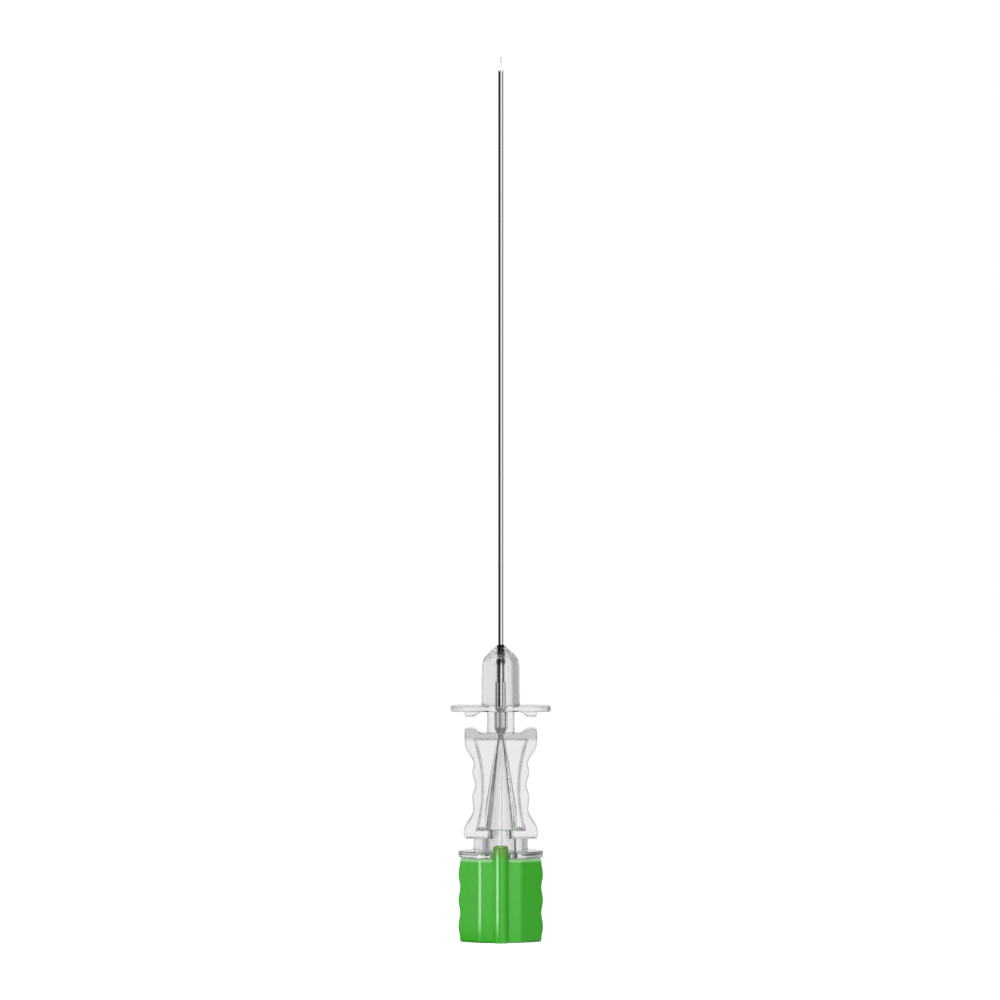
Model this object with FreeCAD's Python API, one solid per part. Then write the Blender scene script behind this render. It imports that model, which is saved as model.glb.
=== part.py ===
import FreeCAD, Part
import math
import os

# Spinal needle, 21 gauge by 90 mm, standing on the flat base of its stylet's cap.
# Millimetres. Z runs up the needle from that base, and the key and the ground bevel face -Y.

# Steel tube
tube_dia = 0.82
tube_wall = 0.155
exposed_length = 90.0
seat_depth = 14.4           # how far the tube reaches down into the hub
bevel_angle = 17.9          # degrees between the ground face and the needle's axis
lancet_angle = 31.7         # the same for the two small facets that sharpen the point
lancet_turn = 35.0          # degrees that each facet is turned to its side

# Stylet wire
wire_clearance = 0.03       # radial, in the tube's bore
wire_setback = 0.06         # how far its ground end stays behind the tube's bevel
anchor_rise = 3.25          # wire's lower end above the cap's floor, inside the post
anchor_clearance = 0.01

# Stylet cap
cap_height = 12.7
cap_width = 12.4            # across the scalloped sides, at the valleys
cap_depth = 10.6            # across the front and back, without the panels
cap_side_depth = 5.2        # the scalloped sides; sloping faces join them to the panels
panel_width = 6.8
panel_rise = 0.35
panel_edge = 0.25
cap_wall = 1.0
cap_floor = 1.3
cap_edge = 0.4              # rounding of the top and bottom edges
scallop_pitch = 3.95
scallop_count = 3
scallop_rise = 0.25
post_dia = 3.4
spigot_length = 0.8
spigot_clearance = 0.06

# Key on the cap, which passes the notch in the hub's flange
key_dia = 2.36
key_rise = 2.1              # above the cap's top edge
key_gap = 0.16              # between the key and the hub's collar
key_round = 0.45
notch_clearance = 0.36

# Hub: flange, socket and collar
seat_gap = 0.05             # between the flange and the cap's top edge
flange_dia = 13.0
flange_thickness = 1.05
flange_edge = 0.25
collar_dia = 8.4
collar_length = 1.9
socket_mouth_dia = 4.3
socket_taper = 0.06         # change of diameter for each millimetre of depth
funnel_dia = 3.5
channel_dia = 1.1
guide_dia = 0.64            # channel's upper end, where the tube begins
funnel_top_drop = 2.2       # funnel's narrow end, below the window's top edge

# Hub: waisted grip body with a window on each face
body_depth = 8.0
foot_thickness = 1.4
window_height = 13.75
crown_thickness = 0.85
web_thickness = 1.2
shoulder_width = 11.0
foot_width = 11.3
grip_width = 8.68           # over the bumps
waist_width = 7.8           # over the valley between them
upper_valley_width = 8.2
lower_valley_width = 8.34
bump_pitch = 4.0
upper_valley_rise = 3.05    # above the middle of the window
lower_valley_drop = 3.75    # below it
shoulder_crest_drop = 0.55  # widest place, below the window's top edge
foot_crest_rise = 1.0       # widest place, above the body's underside
foot_tuck = 0.25            # how far the foot's lower corner turns in
grip_wall = 1.1
shoulder_wall = 1.45
foot_wall = 1.95

# Hub: cone around the funnel
cone_dia = 5.0
cone_top_dia = 1.7
cone_straight = 2.5         # plain length above the foot

# Hub: neck, wing plate and the lips that face each other across the neck
neck_width = 4.16
neck_depth = 4.8
neck_round = 0.5
neck_length = 3.35
neck_bore_dia = 2.1         # round the tube, between its seat and the wing plate
wing_span = 15.3
wing_depth = 9.0
wing_thickness = 0.9
wing_corner = 2.0
wing_edge = 0.25
lip_rise = 0.75
lip_width = 1.4             # flat crest, in from the shoulder
lip_slope = 1.1             # width of the slope behind the crest
lip_sink = 0.3              # how far the lips run up into the wing plate

# Hub: nose
nose_length = 9.15
nose_base_dia = 5.9
nose_shoulder_dia = 5.5
nose_tip_dia = 1.5
ogive_length = 2.85
ogive_swell = 0.33          # how far the ogive stands out from its chord
bore_dia = 1.2              # round the tube, in the nose
seat_length = 0.7           # snug lower end of the bore
seat_clearance = 0.03
lead_length = 1.2           # cone from the neck's bore down to the seat

# Adhesive
bond_depth = 5.6            # below the nose's tip
bead_rise = 0.4
bead_top_wall = 0.03

tube_r = tube_dia / 2
bore_r = tube_r - tube_wall
wire_r = bore_r - wire_clearance

flange_z = cap_height + seat_gap
collar_z = flange_z + flange_thickness
body_z = collar_z + collar_length
window_z = body_z + foot_thickness
window_middle_z = window_z + window_height / 2
window_top_z = window_z + window_height
body_top_z = window_top_z + crown_thickness
wing_z = body_top_z + neck_length
nose_z = wing_z + wing_thickness
nose_top_z = nose_z + nose_length
tube_end_z = nose_top_z - seat_depth
seat_top_z = tube_end_z + seat_length
lead_top_z = seat_top_z + lead_length
bond_z = nose_top_z - bond_depth
tip_z = nose_top_z + exposed_length
funnel_top_z = window_top_z - funnel_top_drop
shoulder_r = shoulder_width / 2
socket_r = socket_mouth_dia / 2
socket_end_r = socket_r - socket_taper / 2 * (window_z - flange_z)
post_top_z = flange_z + spigot_length
wire_bottom_z = cap_floor + anchor_rise
panel_y = cap_depth / 2 + panel_rise
key_y = collar_dia / 2 + key_gap + key_dia / 2


def flat_point(x, z):
    """Point in the XZ plane."""
    return FreeCAD.Vector(x, 0, z)


def outline(start, steps):
    """Closed XZ face. A step is an end point, or a point on an arc followed by its end point."""
    edges = []
    here = flat_point(*start)
    for step in steps + [start]:
        there = flat_point(*step[-2:])
        if len(step) == 4:
            edges.append(Part.Arc(here, flat_point(*step[:2]), there).toShape())
        else:
            edges.append(Part.LineSegment(here, there).toShape())
        here = there
    return Part.Face(Part.Wire(edges))


def bend(start, end, upright):
    """Arc step that leaves start upright, or level, and passes through end."""
    across = end[0] - start[0]
    along = end[1] - start[1]
    if upright:
        across, along = along, across
    turn = 2 * math.atan2(abs(along), abs(across))
    radius = abs(across) / math.sin(turn)
    half_across = math.copysign(radius * math.sin(turn / 2), across)
    half_along = math.copysign(radius * (1 - math.cos(turn / 2)), along)
    if upright:
        half_across, half_along = half_along, half_across
    return (start[0] + half_across, start[1] + half_along) + tuple(end)


def wave(start, end, upright):
    """Two arc steps that join start to end and are upright, or level, at both."""
    middle = ((start[0] + end[0]) / 2, (start[1] + end[1]) / 2)
    first = bend(start, middle, upright)
    back = bend(end, middle, upright)
    return [first, back[:2] + tuple(end)]


def prism(face, depth):
    """Face pushed along Y to both sides of its plane."""
    return face.translated(FreeCAD.Vector(0, -depth / 2, 0)).extrude(FreeCAD.Vector(0, depth, 0))


def turned(face):
    """Full turn of an XZ face about the needle's axis."""
    return face.revolve(FreeCAD.Vector(0, 0, 0), FreeCAD.Vector(0, 0, 1), 360)


def cylinder(radius, z, top_z, y=0.0):
    return Part.makeCylinder(radius, top_z - z, FreeCAD.Vector(0, y, z))


def both_sides(shape):
    """Shape joined to its mirror image across the YZ plane."""
    other = shape.mirror(FreeCAD.Vector(0, 0, 0), FreeCAD.Vector(1, 0, 0))
    return shape.fuse(other).removeSplitter()


def upright_edges(shape):
    """Straight edges that run along Z."""
    found = []
    for edge in shape.Edges:
        low, high = edge.Vertexes[0].Point, edge.Vertexes[-1].Point
        if math.hypot(low.x - high.x, low.y - high.y) < 1e-6 and abs(low.z - high.z) > 1e-6:
            found.append(edge)
    return found


def edges_at(shape, z):
    """Edges that lie in the level plane at height z."""
    return [e for e in shape.Edges if all(abs(v.Z - z) < 1e-6 for v in e.Vertexes)]


def ground_off(point, slope, turn):
    """Block above a grinding plane through point, sloped to the axis and turned about it."""
    size = 8 * tube_dia / math.sin(math.radians(slope))
    block = Part.makeBox(size, size, size, FreeCAD.Vector(-size / 2, -size / 2, 0))
    block.rotate(FreeCAD.Vector(0, 0, 0), FreeCAD.Vector(1, 0, 0), 90 - slope)
    block.rotate(FreeCAD.Vector(0, 0, 0), FreeCAD.Vector(0, 0, 1), turn)
    return block.translated(point)


def cannula():
    """Steel tube with a long bevel and two lancet facets at its point."""
    tube = cylinder(tube_r, tube_end_z, tip_z).cut(cylinder(bore_r, tube_end_z, tip_z))
    point = FreeCAD.Vector(0, tube_r, tip_z)
    tube = tube.cut(ground_off(point, bevel_angle, 0))
    for side in (-1, 1):
        tube = tube.cut(ground_off(point, lancet_angle, side * lancet_turn))
    return tube


def stylet_wire():
    """Solid wire that fills the tube, ground off in line with the tube's bevel."""
    wire = cylinder(wire_r, wire_bottom_z, tip_z)
    point = FreeCAD.Vector(0, tube_r, tip_z - wire_setback / math.sin(math.radians(bevel_angle)))
    return wire.cut(ground_off(point, bevel_angle, 0))


def cap_plan(side_x, z):
    """Level eight-sided face of the cap without its panels, side_x from the axis to each side."""
    side_y = cap_side_depth / 2
    front_y = cap_depth / 2
    front_x = panel_width / 2
    ring = [(side_x, -side_y), (side_x, side_y), (front_x, front_y), (-front_x, front_y)]
    ring += [(-x, -y) for x, y in ring]
    points = [FreeCAD.Vector(x, y, z) for x, y in ring]
    return Part.Face(Part.makePolygon(points + points[:1]))


def cap_front_view():
    """Front outline of the cap, with the scallops down both sides."""
    valley_x = cap_width / 2
    crest_x = valley_x + scallop_rise
    edge_x = valley_x - cap_edge
    first_z = cap_height / 2 - scallop_pitch * scallop_count / 2
    steps = [(edge_x, 0), bend((edge_x, 0), (valley_x, cap_edge), False), (valley_x, first_z)]
    for count in range(scallop_count):
        low_z = first_z + count * scallop_pitch
        crest_z = low_z + scallop_pitch / 2
        steps += wave((valley_x, low_z), (crest_x, crest_z), True)
        steps += wave((crest_x, crest_z), (valley_x, low_z + scallop_pitch), True)
    steps.append((valley_x, cap_height - cap_edge))
    steps.append(bend((valley_x, cap_height - cap_edge), (edge_x, cap_height), True))
    steps.append((0, cap_height))
    return both_sides(prism(outline((0, 0), steps), 2 * cap_depth))


def cap_panels():
    """Raised panels on the front and the back of the cap."""
    panel = Part.makeBox(panel_width, 2 * panel_y, cap_height,
                         FreeCAD.Vector(-panel_width / 2, -panel_y, 0))
    panel = panel.makeFillet(panel_edge, upright_edges(panel))
    return panel.makeFillet(panel_edge, edges_at(panel, 0) + edges_at(panel, cap_height))


def cap_key():
    """Round rib down the front that rises past the cap's top edge as the key."""
    top_z = cap_height + key_rise
    rib = cylinder(key_dia / 2, 0, top_z, -key_y)
    return rib.makeFillet(key_round, edges_at(rib, top_z))


def cap_post():
    """Post that holds the wire, ending in a tapered spigot that centres the hub's socket."""
    foot_r = socket_r - spigot_clearance
    top_r = foot_r - socket_taper / 2 * spigot_length
    post = cylinder(post_dia / 2, cap_floor / 2, flange_z)
    spigot = Part.makeCone(foot_r, top_r, spigot_length, FreeCAD.Vector(0, 0, flange_z))
    shoulder = cylinder(foot_r, flange_z - spigot_length, flange_z)
    return post.fuse([shoulder, spigot])


def stylet_cap():
    """Hollow moulded cap: scalloped grip sides, front panel, key rib and inner post."""
    up = FreeCAD.Vector(0, 0, cap_height)
    shell = cap_plan(cap_width / 2 + scallop_rise, 0).extrude(up).common(cap_front_view())
    shell = shell.fuse([cap_panels(), cap_key()])
    hollow = cap_plan(cap_width / 2, cap_floor).makeOffset2D(-cap_wall, 2).extrude(up)
    anchor = cylinder(wire_r + anchor_clearance, wire_bottom_z, post_top_z)
    return shell.cut(hollow).fuse(cap_post()).cut(anchor).removeSplitter()


def body_side():
    """Steps up the body's side outline: foot, valleys, bumps and shoulder."""
    stations = [
        (foot_width / 2, body_z + foot_crest_rise),
        (lower_valley_width / 2, window_middle_z - lower_valley_drop),
        (grip_width / 2, window_middle_z - bump_pitch / 2),
        (waist_width / 2, window_middle_z),
        (grip_width / 2, window_middle_z + bump_pitch / 2),
        (upper_valley_width / 2, window_middle_z + upper_valley_rise),
        (shoulder_r, window_top_z - shoulder_crest_drop),
    ]
    under = (foot_width / 2 - foot_tuck, body_z)
    steps = [under, bend(stations[0], under, True)[:2] + stations[0]]
    for low, high in zip(stations, stations[1:]):
        steps += wave(low, high, True)
    return steps


def lip(z, rise):
    """Steps in from the shoulder over a lip's crest and down its slope to the plate at z."""
    crest_x = shoulder_r - lip_width
    foot = (crest_x - lip_slope, z)
    return [(shoulder_r, z + rise), (crest_x, z + rise)] + wave((crest_x, z + rise), foot, False)


def body():
    """Waisted block with lips on its crown, a window pocket on each face and a thin web between."""
    steps = body_side() + lip(body_top_z, lip_rise) + [(0, body_top_z)]
    block = both_sides(prism(outline((0, body_z), steps), body_depth))
    top_x = shoulder_r - shoulder_wall
    waist_x = waist_width / 2 - grip_wall
    foot_x = foot_width / 2 - foot_wall
    side = [(foot_x, window_z), (waist_x, window_middle_z, top_x, window_top_z), (0, window_top_z)]
    window = both_sides(prism(outline((0, window_z), side), 2 * body_depth))
    web = Part.makeBox(shoulder_width, web_thickness, window_height,
                       FreeCAD.Vector(-shoulder_r, -web_thickness / 2, window_z))
    return block.cut(window.cut(web))


def cone():
    """Outside of the funnel, standing proud of the web."""
    steps = [
        (cone_dia / 2, body_z),
        (cone_dia / 2, window_z + cone_straight),
        (cone_top_dia / 2, window_top_z),
        (0, window_top_z),
    ]
    return turned(outline((0, body_z), steps))


def flange():
    """Round flange with a notch that the key passes."""
    disc = cylinder(flange_dia / 2, flange_z, collar_z)
    disc = disc.makeChamfer(flange_edge, edges_at(disc, flange_z) + edges_at(disc, collar_z))
    notch_width = key_dia + 2 * notch_clearance
    notch = Part.makeBox(notch_width, flange_dia, flange_thickness,
                         FreeCAD.Vector(-notch_width / 2, -flange_dia - collar_dia / 2, flange_z))
    return disc.cut(notch)


def neck():
    """Upright block with rounded corners between the body's crown and the wing plate."""
    block = Part.makeBox(neck_width, neck_depth, neck_length,
                         FreeCAD.Vector(-neck_width / 2, -neck_depth / 2, body_top_z))
    return block.makeFillet(neck_round, upright_edges(block))


def wing():
    """Wing plate with two lips under it that mirror those on the body's crown."""
    plate = Part.makeBox(wing_span, wing_depth, wing_thickness,
                         FreeCAD.Vector(-wing_span / 2, -wing_depth / 2, wing_z))
    plate = plate.makeFillet(wing_corner, upright_edges(plate))
    plate = plate.makeChamfer(wing_edge, edges_at(plate, wing_z) + edges_at(plate, nose_z))
    sunk_z = wing_z + lip_sink
    under = outline((0, sunk_z), [(shoulder_r, sunk_z)] + lip(wing_z, -lip_rise) + [(0, wing_z)])
    return plate.fuse(both_sides(prism(under, body_depth)))


def nose():
    """Bullet nose around the tube's bore."""
    shoulder_z = nose_top_z - ogive_length
    shoulder = nose_shoulder_dia / 2
    tip = nose_tip_dia / 2
    chord = math.hypot(shoulder - tip, ogive_length)
    swell_x = (shoulder + tip) / 2 + ogive_swell * ogive_length / chord
    swell_z = nose_top_z - ogive_length / 2 + ogive_swell * (shoulder - tip) / chord
    steps = [
        (nose_base_dia / 2, nose_z),
        (shoulder, shoulder_z),
        (swell_x, swell_z, tip, nose_top_z),
        (0, nose_top_z),
    ]
    return turned(outline((0, nose_z), steps))


def passage():
    """All that is open along the axis: socket, funnel, channel, and the tube's seat and bore."""
    steps = [
        (socket_r, flange_z),
        (socket_end_r, window_z),
        (funnel_dia / 2, window_z),
        (channel_dia / 2, funnel_top_z),
        (guide_dia / 2, tube_end_z),
        (tube_r + seat_clearance, tube_end_z),
        (tube_r + seat_clearance, seat_top_z),
        (neck_bore_dia / 2, lead_top_z),
        (neck_bore_dia / 2, wing_z),
        (bore_dia / 2, nose_z),
        (bore_dia / 2, nose_top_z),
        (0, nose_top_z),
    ]
    return turned(outline((0, flange_z), steps))


def cannula_hub():
    """Clear moulded hub in one piece, from the flange to the nose."""
    collar = cylinder(collar_dia / 2, collar_z, body_z)
    solid = flange().fuse([collar, body(), cone(), neck(), wing(), nose()])
    return solid.cut(passage()).removeSplitter()


def adhesive():
    """Ring of cured adhesive round the tube in its bore, drawn up past the nose as a small bead."""
    ring_r = bore_dia / 2
    steps = [
        (ring_r, bond_z),
        (ring_r, nose_top_z),
        (tube_r + bead_top_wall, nose_top_z + bead_rise),
        (tube_r, nose_top_z + bead_rise),
    ]
    return turned(outline((tube_r, bond_z), steps))


def main():
    os.makedirs("parts", exist_ok=True)
    for build in (cannula, cannula_hub, adhesive, stylet_wire, stylet_cap):
        shape = build()
        solids = shape.Solids
        if len(solids) == 1:
            shape = solids[0]
        print(build.__name__, len(solids), "solid, valid:", shape.isValid(), round(shape.Volume, 3), "mm3")
        shape.exportStep("parts/" + build.__name__ + ".step")


main()
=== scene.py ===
import math

import bmesh
import bpy
from mathutils import Matrix, Vector

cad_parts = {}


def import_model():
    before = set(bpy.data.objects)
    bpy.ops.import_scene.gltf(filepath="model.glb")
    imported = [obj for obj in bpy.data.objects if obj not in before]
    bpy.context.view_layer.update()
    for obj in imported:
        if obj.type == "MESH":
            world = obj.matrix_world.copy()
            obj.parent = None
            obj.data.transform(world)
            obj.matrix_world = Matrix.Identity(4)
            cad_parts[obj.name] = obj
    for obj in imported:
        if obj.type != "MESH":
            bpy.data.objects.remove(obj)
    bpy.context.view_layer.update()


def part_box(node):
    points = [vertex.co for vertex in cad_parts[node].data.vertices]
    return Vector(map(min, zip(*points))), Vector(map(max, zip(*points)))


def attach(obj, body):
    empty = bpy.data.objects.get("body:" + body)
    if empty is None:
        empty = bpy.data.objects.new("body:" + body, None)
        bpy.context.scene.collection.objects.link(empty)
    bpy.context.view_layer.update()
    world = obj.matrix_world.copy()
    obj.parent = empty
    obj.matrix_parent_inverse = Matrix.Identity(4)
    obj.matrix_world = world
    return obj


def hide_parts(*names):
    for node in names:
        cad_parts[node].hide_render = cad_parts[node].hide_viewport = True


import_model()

# Spinal needle on the cap of its stylet, with the key and the ground face of the bevel towards -Y.
# Meshes and finishes are drawn in millimetres, and a mesh is scaled to metres as its piece is finished.
# The studio is set out in metres.
MM = 0.001


def node_box(node):
    """Lowest and highest corner of a node, in millimetres."""
    low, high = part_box(node)
    return low / MM, high / MM


hub_low, hub_high = node_box("cannula_hub")
tube_low, tube_high = node_box("cannula")
ring_low, ring_high = node_box("adhesive")
wire_low = node_box("stylet_wire")[0]
cap_low, cap_high = node_box("stylet_cap")

# Steel tube and stylet wire
tube_r = 0.41
bore_r = 0.255
wire_r = 0.225
bevel_angle = math.radians(17.9)
lancet_angle = math.radians(31.7)
lancet_turn = math.radians(35)
wire_setback = 0.06 / math.sin(bevel_angle)     # sinks the wire's ground face by 0.06 under the tube's

# Hub, from the flange up
flange_z = hub_low.z
flange_thickness = 1.05
flange_r = hub_high.y
collar_r = 4.2
collar_length = 1.9
collar_z = flange_z + flange_thickness
body_z = collar_z + collar_length
foot_thickness = 1.4
window_height = 13.75
window_z = body_z + foot_thickness
window_middle_z = window_z + window_height / 2
window_top_z = window_z + window_height
body_top_z = window_top_z + 0.85
neck_length = 3.35
wing_z = body_top_z + neck_length
wing_thickness = 0.9
nose_z = wing_z + wing_thickness
nose_top_z = hub_high.z
bead_top_z = nose_top_z + 0.12

body_depth = 8.0
web_thickness = 1.2
underside_x = 5.4           # half widths of the body, up from its underside
foot_x = 5.65
bump_x = 4.34
waist_x = 3.9
shoulder_x = 5.5
body_edge = 0.25            # rounding of the body's front and back rims
window_edge = 0.3           # rounding where a window meets the web
rim_edge = 0.25             # rounding of a window's rim
stem_r = 2.5                # cone that stands in the windows, at its foot
stem_end_r = 0.85
neck_x = 2.08
neck_y = 2.4
wing_span = hub_high.x - hub_low.x
wing_depth = 9.0
notch_width = 3.08
notch_y = -4.2

# Passage through the hub
socket_r = 2.15             # mouth of the conical socket
socket_end_r = 2.02
funnel_r = 1.75
funnel_end_r = 0.32
snug_r = tube_r + 0.02      # round the tube where the seat or the resin holds it
relief_r = 1.05             # widest open space round the tube
tube_way_r = 0.6            # open space round the tube in the nose

# Cap
cap_height = 12.7
cap_side_x = 6.2
cap_side_y = 2.6
cap_front_y = 5.3
panel_x = 3.4
panel_y = cap_high.y
scallop_pitch = 3.95
scallop_rise = cap_high.x - cap_side_x
cap_wall = 1.0
cap_floor = 1.3
rib_r = 1.18
rib_y = cap_low.y + rib_r
post_r = 1.7
spigot_r = socket_r - 0.06


# Modelling

def held(profile):
    """Profile with a point close to each end of its long stretches, so that they shade as straight."""
    points = [profile[0]]
    for start, end in zip(profile, profile[1:]):
        run = Vector(end) - Vector(start)
        if run.length > 0.6:
            step = run.normalized() * 0.06
            points += [tuple(Vector(start) + step), tuple(Vector(end) - step)]
        points.append(end)
    return points


def turned(profile, steps=72, closed=False):
    """Profile of radii and heights, turned about the Z axis."""
    bm = bmesh.new()
    corners = [bm.verts.new((radius, 0, z)) for radius, z in held(profile)]
    pairs = list(zip(corners, corners[1:]))
    if closed:
        pairs.append((corners[-1], corners[0]))
    edges = [bm.edges.new(pair) for pair in pairs]
    bmesh.ops.spin(bm, geom=corners + edges, cent=(0, 0, 0), axis=(0, 0, 1),
                   angle=2 * math.pi, steps=steps, use_merge=True)
    bmesh.ops.remove_doubles(bm, verts=bm.verts, dist=1e-4)
    bmesh.ops.recalc_face_normals(bm, faces=bm.faces)
    return bm


def bevel(bm, edges, width, segments=4):
    """Edges rounded to a width."""
    bmesh.ops.bevel(bm, geom=edges, offset=width, offset_type="OFFSET", segments=segments,
                    profile=0.5, affect="EDGES", material=-1)
    bmesh.ops.remove_doubles(bm, verts=bm.verts, dist=1e-4)
    bmesh.ops.recalc_face_normals(bm, faces=bm.faces)


def level_edges(bm, axis):
    """Edges that lie in a plane square to an axis, at the mesh's lowest or highest place on it."""
    places = [v.co[axis] for v in bm.verts]
    ends = (min(places), max(places))
    return [e for e in bm.edges
            if any(all(abs(v.co[axis] - end) < 1e-4 for v in e.verts) for end in ends)]


def prism(points, depth, edge=0.0):
    """XZ outline pushed along Y to both sides of its plane, with rounded rims."""
    bm = bmesh.new()
    front = bm.faces.new([bm.verts.new((x, -depth / 2, z)) for x, z in points])
    pushed = bmesh.ops.extrude_face_region(bm, geom=[front])["geom"]
    moved = [item for item in pushed if isinstance(item, bmesh.types.BMVert)]
    bmesh.ops.translate(bm, verts=moved, vec=(0, depth, 0))
    bmesh.ops.recalc_face_normals(bm, faces=bm.faces)
    if edge:
        bevel(bm, level_edges(bm, 1), edge)
    return bm


def grown(points, reach):
    """Outline with every point moved outwards by a reach."""
    moved = []
    for before, here, after in zip(points[-1:] + points, points, points[1:] + points[:1]):
        coming = (Vector(here) - Vector(before)).normalized()
        going = (Vector(after) - Vector(here)).normalized()
        out = Vector((coming.y + going.y, -coming.x - going.x)) / 2
        moved.append(tuple(Vector(here) + out * reach / out.length_squared))
    return moved


def lofted(rings):
    """Closed skin through a row of outlines that have the same number of points."""
    bm = bmesh.new()
    loops = []
    for ring in rings:
        corners = [bm.verts.new(point) for point in ring]
        loops.append([bm.edges.new(pair) for pair in zip(corners, corners[1:] + corners[:1])])
    for low, high in zip(loops, loops[1:]):
        bmesh.ops.bridge_loops(bm, edges=low + high)
    bmesh.ops.holes_fill(bm, edges=loops[0] + loops[-1])
    bmesh.ops.recalc_face_normals(bm, faces=bm.faces)
    return bm


def disc(radius, z, top_z, edge=0.0, steps=96):
    """Round slab with rounded rims."""
    bm = bmesh.new()
    bmesh.ops.create_cone(bm, cap_ends=True, segments=steps, radius1=radius, radius2=radius,
                          depth=top_z - z, matrix=Matrix.Translation((0, 0, (z + top_z) / 2)))
    if edge:
        bevel(bm, level_edges(bm, 2), edge)
    return bm


def block(low, high, upright=0.0, rim=0.0, segments=1):
    """Box between two corners, with its upright edges and its top and bottom rims bevelled."""
    bm = bmesh.new()
    size = Vector(high) - Vector(low)
    middle = (Vector(high) + Vector(low)) / 2
    bmesh.ops.create_cube(bm, size=1, matrix=Matrix.Translation(middle) @ Matrix.Diagonal((*size, 1)))
    if upright:
        posts = [e for e in bm.edges if abs(e.verts[0].co.z - e.verts[1].co.z) > 1e-4]
        bevel(bm, posts, upright, segments)
    if rim:
        bevel(bm, level_edges(bm, 2), rim)
    return bm


def mirrored(points):
    """Right half of an outline, from the bottom up, with its left half."""
    return points + [(-x, z) for x, z in reversed(points) if abs(x) > 1e-6]


def wave(start, end, steps=8):
    """Points from one crest to the next, upright at both."""
    points = []
    for step in range(1, steps + 1):
        share = step / steps
        swing = (1 - math.cos(math.pi * share)) / 2
        points.append((start[0] + (end[0] - start[0]) * swing, start[1] + (end[1] - start[1]) * share))
    return points


def arc(start, end, bulge, steps=12):
    """Points on a shallow arc that stands out from its chord by bulge."""
    chord = Vector(end) - Vector(start)
    out = Vector((chord.y, -chord.x)).normalized()
    points = []
    for step in range(1, steps + 1):
        share = step / steps
        points.append(tuple(Vector(start) + chord * share + out * bulge * 4 * share * (1 - share)))
    return points


def solid(bm):
    """Helper object that holds a mesh while it is joined or cut."""
    mesh = bpy.data.meshes.new("helper")
    bm.to_mesh(mesh)
    bm.free()
    helper = bpy.data.objects.new("helper", mesh)
    bpy.context.scene.collection.objects.link(helper)
    return helper


def combine(bm, tools, operation):
    """Mesh joined to the others, or with the others cut away."""
    base = solid(bm)
    for tool in tools:
        cutter = solid(tool)
        change = base.modifiers.new("combine", "BOOLEAN")
        change.operation = operation
        change.solver = "EXACT"
        change.object = cutter
        bpy.context.view_layer.update()
        shaped = base.evaluated_get(bpy.context.evaluated_depsgraph_get())
        mesh = bpy.data.meshes.new_from_object(shaped)
        base.modifiers.clear()
        base.data = mesh
        bpy.data.objects.remove(cutter)
    result = bmesh.new()
    result.from_mesh(base.data)
    bpy.data.objects.remove(base)
    bmesh.ops.remove_doubles(result, verts=result.verts, dist=1e-4)
    return result


def piece(name, bm, finish, body, node, sharp=32):
    """Finished piece that stands for a node and rides on a body.

    An edge that turns by more than sharp, in degrees, shades as an edge.
    """
    bmesh.ops.dissolve_degenerate(bm, edges=bm.edges, dist=1e-4)
    bmesh.ops.scale(bm, verts=bm.verts, vec=(MM, MM, MM))
    for face in bm.faces:
        face.smooth = True
    for edge in bm.edges:
        edge.smooth = edge.calc_face_angle(0) < math.radians(sharp)
    mesh = bpy.data.meshes.new(name)
    bm.to_mesh(mesh)
    bm.free()
    mesh.materials.append(finish)
    made = bpy.data.objects.new(name, mesh)
    bpy.context.scene.collection.objects.link(made)
    level = made.modifiers.new("flat faces shade flat", "WEIGHTED_NORMAL")
    level.keep_sharp = True
    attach(made, body)
    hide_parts(node)
    return made


# Finishes

class Value:
    """Output of a node. Arithmetic on it adds Math nodes."""

    def __init__(self, nodes, socket):
        self.nodes = nodes
        self.socket = socket

    def math(self, operation, *terms):
        """Math node on terms, which are values or numbers."""
        return self.nodes.add("ShaderNodeMath", {"operation": operation}, dict(enumerate(terms)))

    def __add__(self, other):
        return self.math("ADD", self, other)

    def __sub__(self, other):
        return self.math("SUBTRACT", self, other)

    def __rsub__(self, other):
        return self.math("SUBTRACT", other, self)

    def __mul__(self, other):
        return self.math("MULTIPLY", self, other)

    def __truediv__(self, other):
        return self.math("DIVIDE", self, other)

    __radd__ = __add__
    __rmul__ = __mul__


class Nodes:
    """Node tree of a material or of the world."""

    def __init__(self, owner):
        owner.use_nodes = True
        self.owner = owner
        self.tree = owner.node_tree
        self.tree.nodes.clear()

    def add(self, kind, settings=None, inputs=None, output=0):
        """Output of a new node of a kind, which gets its settings first and then what its sockets hold."""
        node = self.tree.nodes.new(kind)
        for name, value in (settings or {}).items():
            if name == "stops":
                self.set_stops(node.color_ramp, value)
            else:
                setattr(node, name, value)
        for name, value in (inputs or {}).items():
            if isinstance(value, Value):
                self.tree.links.new(value.socket, node.inputs[name])
            else:
                node.inputs[name].default_value = value
        return Value(self, node.outputs[output]) if node.outputs else node

    def set_stops(self, ramp, stops):
        """Grey stops of a colour ramp, from pairs of place and shade."""
        while len(ramp.elements) > 1:
            ramp.elements.remove(ramp.elements[-1])
        for count, (place, shade) in enumerate(stops):
            stop = ramp.elements[0] if count == 0 else ramp.elements.new(place)
            stop.position = place
            stop.color = (shade, shade, shade, 1)


def stretched(nodes, scale):
    """Object coordinates in millimetres, stretched by a scale on each axis."""
    place = nodes.add("ShaderNodeTexCoord", output="Object")
    to_millimetres = tuple(share / MM for share in scale)
    return nodes.add("ShaderNodeMapping", {}, {"Vector": place, "Scale": to_millimetres})


def along(nodes, axis):
    """Distance along an axis."""
    return nodes.add("ShaderNodeSeparateXYZ", {}, {"Vector": stretched(nodes, (1, 1, 1))}, axis)


def aside(nodes, axis="X"):
    """Distance from the middle plane that is square to an axis."""
    return nodes.add("ShaderNodeMath", {"operation": "ABSOLUTE"}, {0: along(nodes, axis)})


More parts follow.
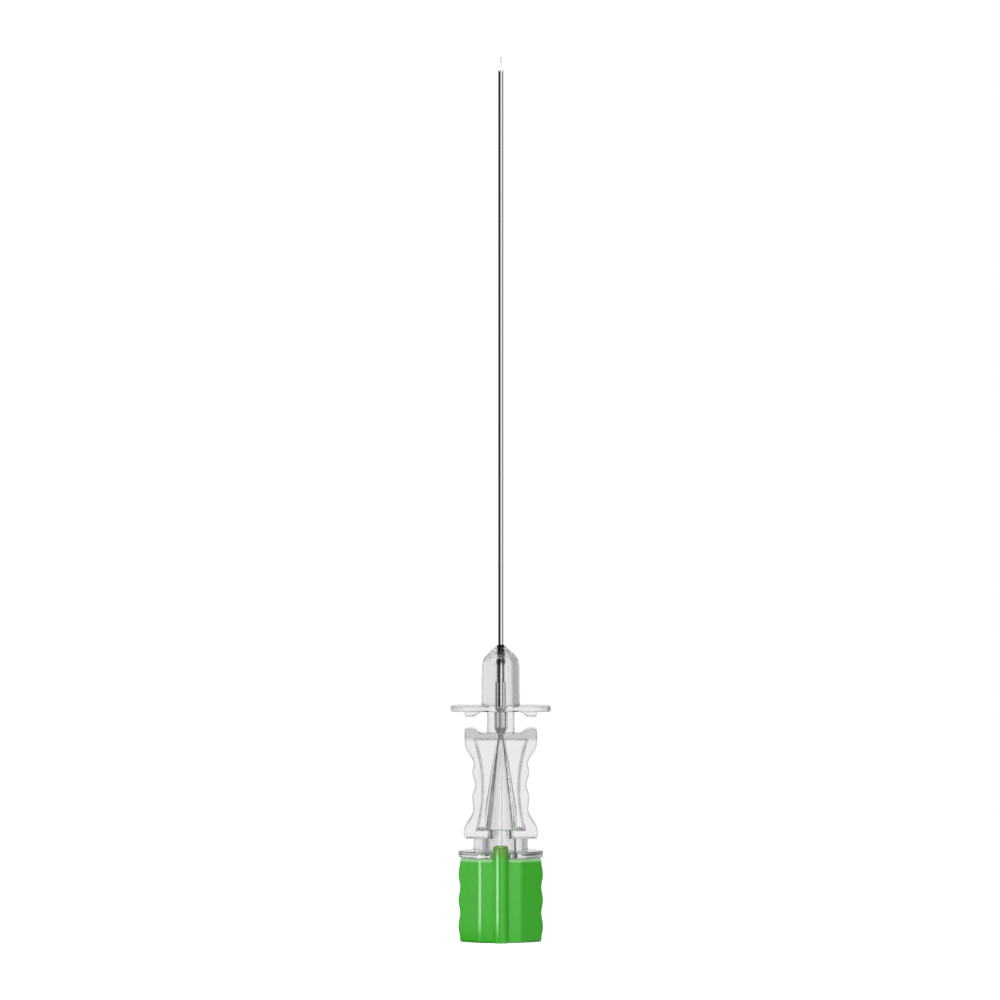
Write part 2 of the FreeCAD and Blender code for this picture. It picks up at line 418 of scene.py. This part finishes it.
def off_axis(nodes):
    """Distance from the needle's axis."""
    place = stretched(nodes, (1, 1, 0))
    return nodes.add("ShaderNodeVectorMath", {"operation": "LENGTH"}, {0: place}, "Value")


def larger(nodes, first, second):
    """The larger of two values."""
    return nodes.add("ShaderNodeMath", {"operation": "MAXIMUM"}, {0: first, 1: second})


def mottle(nodes, size, detail=2.0, stretch=(1, 1, 1)):
    """Cloudy noise from 0 to 1 with patches of about a size, stretched by a share on each axis."""
    place = stretched(nodes, tuple(1 / (size * share) for share in stretch))
    return nodes.add("ShaderNodeTexNoise", {}, {"Vector": place, "Scale": 1.0, "Detail": detail})


def blend(nodes, share, first, second):
    """Colour between two others, each a tuple or a node's output."""
    first, second = [colour if isinstance(colour, Value) else (*colour, 1) for colour in (first, second)]
    return nodes.add("ShaderNodeMix", {"data_type": "RGBA"}, {"Factor": share, 6: first, 7: second}, 2)


def ramp(nodes, value, reach, ends):
    """Value that eases between two ends as another value crosses a reach, which is a low and a high end."""
    return nodes.add("ShaderNodeMapRange", {"interpolation_type": "SMOOTHSTEP"}, {
        "Value": value,
        "From Min": reach[0],
        "From Max": reach[1],
        "To Min": ends[0],
        "To Max": ends[1],
    })


def between(nodes, value, low, high):
    """1 where a value is between a low and a high edge, else 0. Each edge is a reach to ease over."""
    return ramp(nodes, value, low, (0, 1)) * ramp(nodes, value, high, (1, 0))


def finish_material(name, base, **sockets):
    """Material of one principled shader: base(nodes) gives what varies over it, and sockets the rest."""
    nodes = Nodes(bpy.data.materials.new(name))
    inputs = base(nodes)
    inputs.update({key.replace("_", " "): value for key, value in sockets.items()})
    shader = nodes.add("ShaderNodeBsdfPrincipled", {}, inputs)
    nodes.add("ShaderNodeOutputMaterial", {}, {"Surface": shader})
    return nodes.owner


def bump(nodes, height, depth, strength=1.0):
    """Normal that follows a height, at a depth."""
    return nodes.add("ShaderNodeBump", {}, {"Height": height, "Distance": depth * MM, "Strength": strength})


def drawn_steel(nodes):
    """Bright drawn steel with faint lines along the tube."""
    lines = mottle(nodes, 0.12, 3.0, (1, 1, 120))
    cloud = mottle(nodes, 4.0)
    return {
        "Base Color": blend(nodes, lines * 0.6 + cloud * 0.4, (0.56, 0.56, 0.575), (0.68, 0.68, 0.69)),
        "Roughness": lines * 0.06 + 0.05,
        "Normal": bump(nodes, lines, 0.001, 0.2),
    }


def satin_wire(nodes):
    """Light satin steel with faint lines along the wire."""
    lines = mottle(nodes, 0.1, 3.0, (1, 1, 60))
    return {
        "Base Color": blend(nodes, lines, (0.79, 0.79, 0.80), (0.86, 0.86, 0.87)),
        "Roughness": lines * 0.1 + 0.75,
    }


def clear_moulding(nodes):
    """Clear gloss plastic with a faint flow ripple and a hint of haze.

    Painted shade greys its crown's front and back; it is clearest in the wall round the bore and fades at
    the nose's tip.
    """
    ripple = mottle(nodes, 1.6, 1.0, (1, 1, 1.8))
    haze = mottle(nodes, 3.0)
    height = along(nodes, "Z")
    depth = aside(nodes, "Y")
    web_y = web_thickness / 2
    face_y = body_depth / 2
    plain = blend(nodes, haze, (0.88, 0.885, 0.89), (0.94, 0.945, 0.95))

    bore = between(nodes, height, (collar_z, collar_z + 0.2), (window_top_z - 0.85, window_top_z - 0.25))
    near_stem = ramp(nodes, off_axis(nodes), (stem_r + 0.1, stem_r + 0.3), (1, 0))
    off_web = ramp(nodes, depth, (web_y + 0.05, web_y + 0.2), (0, 1))
    cleared = blend(nodes, bore * near_stem * off_web, plain, (0.985, 0.985, 0.985))

    # Painted shade: grey on the front and back faces of the crown, where the thick crown looks darker
    over_foot = ramp(nodes, height, (body_top_z, body_top_z + 0.2), (0, 1))
    neck_foot = over_foot * ramp(nodes, aside(nodes), (neck_x + 0.02, neck_x + 0.22), (1, 0))
    low_edge = (window_top_z - 0.45, window_top_z + 0.25)
    high_edge = (body_top_z + 0.8, body_top_z + 1.1)
    faces = ramp(nodes, depth, (face_y - 0.5, face_y - 0.3), (0, 1))
    crown = between(nodes, height, low_edge, high_edge) * faces * (1 - neck_foot)
    return {
        "Base Color": blend(nodes, crown, cleared, (0.62, 0.62, 0.62)),
        "Alpha": ramp(nodes, height, (nose_top_z - 2.7, nose_top_z - 1.5), (1, 0.55)),
        "Roughness": haze * 0.02 + 0.005,
        "Normal": bump(nodes, ripple, 0.02, 0.4),
    }


def cured_resin(nodes):
    """Nearly clear resin with small clouds, and painted shade against the tube in the nose's tip and in the
    bead.
    """
    cloud = mottle(nodes, 0.4)
    height = along(nodes, "Z")
    # Painted shade: dark grey against the tube in the nose's tip and in the bead, where the steel looks
    # dark through the nose
    tip = ramp(nodes, height, (nose_top_z - 3.2, nose_top_z - 2.7), (0, 1))
    inside = ramp(nodes, off_axis(nodes), (0.5, 0.55), (1, 0))
    bead = ramp(nodes, height, (nose_top_z - 0.35, nose_top_z - 0.2), (0, 1))
    pale = blend(nodes, cloud, (0.92, 0.915, 0.9), (0.99, 0.99, 0.98))
    return {
        "Base Color": blend(nodes, tip * larger(nodes, inside, bead), pale, (0.13, 0.135, 0.135)),
        "Roughness": cloud * 0.04 + 0.01,
    }


def green_moulding(nodes):
    """Opaque green plastic, half gloss, clouded, grained, with a painted rim highlight and painted olive
    shade on the key.
    """
    cloud = mottle(nodes, 5.0)
    grain = mottle(nodes, 0.25, 3.0)
    height = along(nodes, "Z")
    # Painted highlight: pale green along the top rim, kept off the rib
    rim = ramp(nodes, height, (cap_height - 0.6, cap_height - 0.2), (0, 0.8))
    beside_rib = ramp(nodes, aside(nodes), (rib_r + 0.02, rib_r + 0.22), (0, 1))
    # Painted shade: an olive tone at the key's end above the cap
    key_end_shade = ramp(nodes, height, (cap_height - 0.9, cap_high.z - 0.2), (0, 1))
    plain = blend(nodes, cloud, (0.047, 0.500, 0.020), (0.056, 0.545, 0.026))
    rim_highlighted = blend(nodes, rim * beside_rib, plain, (0.42, 0.84, 0.42))
    return {
        "Base Color": blend(nodes, key_end_shade, rim_highlighted, (0.145, 0.355, 0.045)),
        "Roughness": grain * 0.06 + 0.14,
        "Normal": bump(nodes, grain, 0.006, 0.35),
    }


steel = finish_material("drawn_steel", drawn_steel, Metallic=1.0)
wire_steel = finish_material("satin_wire", satin_wire, Metallic=1.0)
clear = finish_material("clear_moulding", clear_moulding, Transmission_Weight=1.0, IOR=1.56)
resin = finish_material("cured_resin", cured_resin, Transmission_Weight=1.0, IOR=1.02)
green = finish_material("green_moulding", green_moulding, Specular_IOR_Level=0.5)


# Steel

def ground(bm, point, slope, turn):
    """Takes all above a grinding plane off a mesh, and gives the rim of the cut."""
    normal = Vector((0, -math.cos(slope), math.sin(slope)))
    normal.rotate(Matrix.Rotation(turn, 3, "Z"))
    cut = bmesh.ops.bisect_plane(bm, geom=bm.verts[:] + bm.edges[:] + bm.faces[:], dist=1e-5,
                                 plane_co=point, plane_no=normal, clear_outer=True)
    return [item for item in cut["geom_cut"] if isinstance(item, bmesh.types.BMEdge)]


def needle_tube():
    """Steel tube with a long bevel and two lancet facets."""
    blank_z = tube_high.z + 1
    wall = [(bore_r, tube_low.z), (tube_r, tube_low.z), (tube_r, blank_z), (bore_r, blank_z)]
    bm = turned(wall, 96, True)
    point = Vector((0, tube_r, tube_high.z))
    rim = ground(bm, point, bevel_angle, 0)
    bmesh.ops.bridge_loops(bm, edges=rim)
    for side in (-1, 1):
        rim = ground(bm, point, lancet_angle, side * lancet_turn)
        bmesh.ops.holes_fill(bm, edges=rim)
    bmesh.ops.recalc_face_normals(bm, faces=bm.faces)
    return bm


def stylet_core():
    """Wire that fills the tube, ground in line with its bevel."""
    bm = disc(wire_r, wire_low.z, tube_high.z, 0, 48)
    rim = ground(bm, Vector((0, tube_r, tube_high.z - wire_setback)), bevel_angle, 0)
    bmesh.ops.holes_fill(bm, edges=rim)
    bmesh.ops.recalc_face_normals(bm, faces=bm.faces)
    return bm


piece("needle_tube", needle_tube(), steel, "needle", "cannula")
piece("stylet_core", stylet_core(), wire_steel, "stylet", "stylet_wire")


# Clear hub

def lip(z, rise):
    """Outline of a lip on a plate at z, from the shoulder inwards: rounded corner, crest and slope."""
    crest_x = shoulder_x - 1.2
    corner = [
        (shoulder_x, z + rise * 0.55),
        (shoulder_x - 0.1, z + rise * 0.85),
        (shoulder_x - 0.35, z + rise),
        (crest_x, z + rise),
    ]
    return corner + [(x, level) for level, x in wave((z + rise, crest_x), (z, crest_x - 1.5))]


def body_outline():
    """Right half of the waisted body, from its underside to the middle of its crown."""
    stations = [
        (foot_x, body_z + 1.0),
        (4.17, window_middle_z - 3.75),
        (bump_x, window_middle_z - 2.0),
        (waist_x, window_middle_z),
        (bump_x, window_middle_z + 2.0),
        (4.1, window_middle_z + 3.05),
        (shoulder_x, window_top_z - 0.55),
    ]
    points = [(underside_x, body_z)] + arc((underside_x, body_z), stations[0], 0.06, 4)
    for start, end in zip(stations, stations[1:]):
        points += wave(start, end)
    return points + lip(body_top_z + 0.08, 0.68)


def window(side):
    """Pocket cut into one face of the body down to the web, with its rims rounded."""
    foot = (foot_x - 1.95, window_z)
    waist = (waist_x - 1.1, window_middle_z)
    top = (shoulder_x - 1.45, window_top_z)
    bulge = (foot[0] + top[0]) / 2 - waist[0]
    outline = mirrored([foot] + arc(foot, top, -bulge))
    turns = [math.radians(step * 22.5) for step in range(5)]
    web_y, front_y = web_thickness / 2, body_depth / 2
    levels = [(web_y + window_edge * (1 - math.cos(t)), window_edge * (math.sin(t) - 1)) for t in turns]
    levels += [(front_y - rim_edge * (1 - math.sin(t)), rim_edge * (1 - math.cos(t))) for t in turns]
    levels.append((front_y + 1, rim_edge))
    return lofted([[(x, side * y, z) for x, z in grown(outline, reach)] for y, reach in levels])


def stem():
    """Collar over the flange, and the cone that stands in the windows."""
    return turned([
        (0, collar_z - 0.5), (collar_r, collar_z - 0.5), (collar_r, body_z + 0.5), (stem_r, body_z + 0.5),
        (stem_r, window_z + 2.5), (stem_end_r, window_top_z), (stem_end_r, window_top_z + 0.4),
        (0, window_top_z + 0.4),
    ])


def neck():
    """Upright block with rounded corners between the crown and the wing plate."""
    return block((-neck_x, -neck_y, body_top_z - 0.4), (neck_x, neck_y, wing_z + 0.4), 0.5, 0, 5)


def nose():
    """Bullet nose, whose side is given by its radius at drops below the top."""
    drops = [
        (2.85, 3.2), (2.8, 2.8), (2.72, 2.45), (2.62, 2.1), (2.47, 1.8), (2.24, 1.5),
        (1.95, 1.2), (1.58, 0.9), (1.24, 0.6), (0.92, 0.3), (0.6, 0),
    ]
    side = [(radius, nose_top_z - drop) for radius, drop in drops]
    return turned([(0, wing_z + 0.4), (2.95, wing_z + 0.4)] + side + [(0, nose_top_z)])


def flange():
    """Round flange with the notch that the key passes."""
    notch = block((-notch_width / 2, -8, flange_z - 1), (notch_width / 2, notch_y, collar_z + 1))
    return combine(disc(flange_r, flange_z, collar_z, 0.28), [notch], "DIFFERENCE")


def wing():
    """Wing plate with a pair of lips under it."""
    x, y = wing_span / 2, wing_depth / 2
    plate = block((-x, -y, wing_z), (x, y, nose_z), 2.0, 0.3, 8)
    under = [(shoulder_x, wing_z + 0.3)] + lip(wing_z, -0.75)
    return combine(plate, [prism(mirrored(under), body_depth, 0.12)], "UNION")


def passage():
    """All that is open along the axis: socket, funnel, the tube's seat and the space round it."""
    return turned([
        (0, flange_z - 1), (socket_r, flange_z - 1), (socket_r, flange_z), (socket_end_r, window_z),
        (funnel_r, window_z), (0.55, window_top_z - 2.2), (funnel_end_r, tube_low.z),
        (snug_r, tube_low.z), (snug_r, tube_low.z + 0.7), (relief_r, tube_low.z + 1.9), (relief_r, wing_z),
        (tube_way_r, nose_z), (tube_way_r, ring_low.z), (snug_r, ring_low.z), (snug_r, nose_top_z + 1),
        (0, nose_top_z + 1),
    ], 96)


def hub_moulding():
    """Clear hub as one closed wall, so that light bends in it as in the real moulding."""
    bm = prism(mirrored(body_outline()), body_depth, body_edge)
    bm = combine(bm, [window(-1), window(1)], "DIFFERENCE")
    bm = combine(bm, [stem(), neck(), wing(), nose(), flange()], "UNION")
    return combine(bm, [passage()], "DIFFERENCE")


def adhesive_ring():
    """Resin round the tube, drawn up past the nose as a bead."""
    ring_r = ring_high.x
    inner_r = tube_r + 0.04
    return turned([
        (inner_r, ring_low.z), (ring_r, ring_low.z), (ring_r, nose_top_z - 0.35),
        (0.52, nose_top_z + 0.01), (inner_r + 0.02, bead_top_z), (inner_r, bead_top_z),
    ], 64, True)


hub = piece("hub_moulding", hub_moulding(), clear, "needle", "cannula_hub")
ring = piece("adhesive_ring", adhesive_ring(), resin, "needle", "adhesive")

# Light passes through the clear pieces, so they cast no solid shadow
hub.visible_shadow = False
ring.visible_shadow = False


# Green cap

def side_corner(side_x):
    """Corner between a scalloped side and the sloping face beside it."""
    slope = (cap_front_y - cap_side_y) / (cap_side_x + scallop_rise - panel_x)
    return side_x, cap_side_y + (cap_side_x + scallop_rise - side_x) * slope


def cap_shell():
    """Outside of the cap with three scallops down each side."""
    quarter = [side_corner(cap_side_x), (panel_x, cap_front_y)]
    half = quarter + [(-x, y) for x, y in reversed(quarter)]
    scallops, steps = 3, 16
    first_z = cap_height / 2 - scallop_pitch * scallops / 2
    levels = []
    for step in range(scallops * steps + 1):
        share = step / steps
        levels.append((first_z + scallop_pitch * share, (1 - math.cos(2 * math.pi * share)) / 2))
    bm = bmesh.new()
    top = bm.faces.new([bm.verts.new((x, y, 0)) for x, y in half + [(-x, -y) for x, y in half]])
    for z, swing in levels + [(cap_height, 0.0)]:
        pushed = bmesh.ops.extrude_face_region(bm, geom=[top, *top.edges])["geom"]
        top = next(item for item in pushed if isinstance(item, bmesh.types.BMFace))
        x, y = side_corner(cap_side_x + scallop_rise * swing)
        for vert in top.verts:
            if abs(vert.co.x) > panel_x + 0.1:
                vert.co.xy = (math.copysign(x, vert.co.x), math.copysign(y, vert.co.y))
            vert.co.z = z
    bmesh.ops.recalc_face_normals(bm, faces=bm.faces)
    uprights = [e for e in bm.edges if abs(e.verts[0].co.z - e.verts[1].co.z) > 0.01]
    bevel(bm, [e for e in uprights if all(abs(v.co.x) > panel_x + 0.5 for v in e.verts)], 0.3, 3)
    bevel(bm, level_edges(bm, 2), 0.4)
    return bm


def cap_panel():
    """Slab that stands out of the cap's front and back as a raised panel with bevelled corners."""
    corner = [(panel_x, panel_y - 0.24), (panel_x - 0.4, panel_y)]
    half = corner + [(-x, y) for x, y in reversed(corner)]
    outline = half + [(-x, -y) for x, y in half]
    bm = lofted([[(x, y, z) for x, y in outline] for z in (0, cap_height)])
    bevel(bm, level_edges(bm, 2), 0.3)
    return bm


def cap_hollow():
    """Inside of the cap, above its floor."""
    reach_x, reach_y = cap_side_x - cap_wall, cap_front_y - cap_wall
    return block((-reach_x, -reach_y, cap_floor), (reach_x, reach_y, cap_height + 1), 1.9)


def cap_rib():
    """Round rib down the front, which rises past the cap as the key."""
    bm = disc(rib_r, 0, cap_high.z, 0, 48)
    bevel(bm, [e for e in level_edges(bm, 2) if e.verts[0].co.z > cap_height], 0.45)
    bmesh.ops.translate(bm, verts=bm.verts, vec=(0, rib_y, 0))
    return bm


def cap_post():
    """Post that holds the wire, with the spigot that centres the hub's socket."""
    low_z, top_z = flange_z - 0.8, flange_z + 0.8
    return turned([
        (0, cap_floor / 2), (post_r, cap_floor / 2), (post_r, low_z), (spigot_r, low_z),
        (spigot_r, flange_z), (spigot_r - 0.024, top_z - 0.1), (spigot_r - 0.124, top_z), (0, top_z),
    ])


def cap_moulding():
    """Green cap in one piece."""
    bm = combine(cap_shell(), [cap_panel()], "UNION")
    bm = combine(bm, [cap_hollow()], "DIFFERENCE")
    return combine(bm, [cap_rib(), cap_post()], "UNION")


piece("cap_moulding", cap_moulding(), green, "stylet", "stylet_cap", 28)


# Studio

flag_shades = [             # by the turn from the front towards the right, in degrees
    (-180, 0.82), (-156, 0.82), (-148, 0.45), (-112, 0.38), (-100, 0.05), (-9, 0.03), (-2, 1.6),
    (36, 1.6), (46, 0.65), (78, 0.55), (86, 0.05), (111, 0.05), (119, 0.82), (180, 0.82),
]
right_flag = ((0.5, 0.7), (1.9, 2.1))   # its edges, as turns in radians
right_flag_darker = 0.7     # share of its light that glass loses after a mirror bounce
through_shade = 0.5         # least shade for light that only passes through the glass
plain_shade = 0.66          # the world's light on plain surfaces


def seen_by_eye(nodes):
    """1 for light that the camera sees straight, in a mirror or through glass, else 0."""
    straight, mirror, glass = [
        nodes.add("ShaderNodeLightPath", output=name)
        for name in ("Is Camera Ray", "Is Glossy Ray", "Is Transmission Ray")]
    return nodes.add("ShaderNodeMath", {"operation": "MINIMUM"}, {0: straight + mirror + glass, 1: 1.0})


def flags(nodes, way):
    """Shade that steel and glass see in a level direction: white in front, pale behind, dark beside."""
    across = nodes.add("ShaderNodeSeparateXYZ", {}, {"Vector": way}, "X")
    back = nodes.add("ShaderNodeSeparateXYZ", {}, {"Vector": way}, "Y")
    turn = nodes.add("ShaderNodeMath", {"operation": "ARCTAN2"}, {0: across, 1: back * -1})
    stops = [(degrees / 360 + 0.5, shade) for degrees, shade in flag_shades]
    shade = nodes.add("ShaderNodeValToRGB", {"stops": stops}, {"Fac": turn / (2 * math.pi) + 0.5})
    through = nodes.add("ShaderNodeLightPath", output="Is Transmission Ray")
    bounces = nodes.add("ShaderNodeLightPath", output="Glossy Depth")
    bounced = nodes.add("ShaderNodeMath", {"operation": "MINIMUM"}, {0: bounces, 1: 1.0})
    right = between(nodes, turn, *right_flag)
    shade = shade * (1 - through * bounced * right * right_flag_darker)
    return larger(nodes, shade, through * (1 - bounced) * through_shade)


def floor():
    """Pale floor that fades into the white around it and keeps a soft shadow."""
    bm = bmesh.new()
    bmesh.ops.create_circle(bm, cap_ends=True, segments=96, radius=0.3)
    mesh = bpy.data.meshes.new("floor")
    bm.to_mesh(mesh)
    bm.free()
    nodes = Nodes(bpy.data.materials.new("pale_floor"))
    matt = nodes.add("ShaderNodeBsdfDiffuse", {}, {"Color": (0.45, 0.45, 0.45, 1)})
    straight = nodes.add("ShaderNodeLightPath", output="Is Camera Ray")
    glow = nodes.add("ShaderNodeEmission", {}, {"Color": straight * 0.85, "Strength": 1.0})
    pale = nodes.add("ShaderNodeAddShader", {}, {0: matt, 1: glow})
    place = nodes.add("ShaderNodeTexCoord", output="Object")
    reach = nodes.add("ShaderNodeVectorMath", {"operation": "LENGTH"}, {0: place}, "Value")
    near = ramp(nodes, reach, (0.02, 0.12), (0.7, 1.0))
    shade = nodes.add("ShaderNodeEmission", {}, {"Color": flags(nodes, place) * near, "Strength": 1.0})
    bent = seen_by_eye(nodes) - straight
    surface = nodes.add("ShaderNodeMixShader", {}, {0: bent, 1: pale, 2: shade})
    nodes.add("ShaderNodeOutputMaterial", {}, {"Surface": surface})
    mesh.materials.append(nodes.owner)
    made = bpy.data.objects.new("floor", mesh)
    bpy.context.scene.collection.objects.link(made)


def world():
    """White to the eye, with darker flags and a darker ceiling for what steel and glass see."""
    studio = bpy.data.worlds.new("studio")
    bpy.context.scene.world = studio
    nodes = Nodes(studio)
    way = nodes.add("ShaderNodeTexCoord", output="Generated")
    rise = nodes.add("ShaderNodeSeparateXYZ", {}, {"Vector": way}, "Z")
    ceiling = ramp(nodes, rise, (0.15, 0.6), (1.0, 0.45))
    straight = nodes.add("ShaderNodeLightPath", output="Is Camera Ray")
    eye = seen_by_eye(nodes)
    shade = straight + flags(nodes, way) * ceiling * (eye - straight) + (1 - eye) * plain_shade
    light = nodes.add("ShaderNodeBackground", {}, {"Color": shade, "Strength": 1.0})
    nodes.add("ShaderNodeOutputWorld", {}, {"Surface": light})


def lamp(name, place, aim, size, power, gloss):
    """Soft lamp at a place, turned to its aim, for gloss or for plain shading."""
    light = bpy.data.lights.new(name, "AREA")
    light.shape = "RECTANGLE"
    light.size, light.size_y = size
    light.energy = power
    made = bpy.data.objects.new(name, light)
    made.location = place
    made.rotation_euler = (Vector(place) - Vector(aim)).to_track_quat("Z", "Y").to_euler()
    made.visible_camera = False
    made.visible_diffuse = not gloss
    made.visible_glossy = gloss
    made.visible_transmission = False
    bpy.context.scene.collection.objects.link(made)


def camera():
    """Level camera in front of the needle, at half its height."""
    distance = 1.0
    view_width = 0.1527
    eye_x = -0.00012
    eye_z = 0.0673
    lens = bpy.data.cameras.new("camera")
    lens.sensor_width = 36
    lens.lens = lens.sensor_width * distance / view_width
    made = bpy.data.objects.new("camera", lens)
    made.location = (eye_x, -distance, eye_z)
    made.rotation_euler = (math.pi / 2, 0, 0)
    bpy.context.scene.collection.objects.link(made)
    bpy.context.scene.camera = made


floor()
world()

# The key lights plain surfaces. The others show in gloss alone: the strip down the rib and the panel's
# edge, the side lamp along the cap's left side, and the one overhead.
lamp("key", (-0.181, -0.591, 0.379), (0, 0, 0.05), (0.3, 0.3), 2.0, False)
lamp("strip", (-0.0200, -0.0220, 0.0064), (-0.0022, -0.0055, 0.0064), (0.0165, 0.0122), 0.0054, True)
lamp("side", (-0.0250, -0.0065, 0.0064), (-0.0050, -0.0040, 0.0064), (0.014, 0.022), 0.0007, True)
lamp("overhead", (-0.101, -0.278, 0.644), (0, 0, 0.01), (0.5, 0.5), 3.5, True)
camera()

scene = bpy.context.scene
scene.view_settings.view_transform = "Standard"
scene.cycles.max_bounces = 24
scene.cycles.transmission_bounces = 24
scene.cycles.glossy_bounces = 8
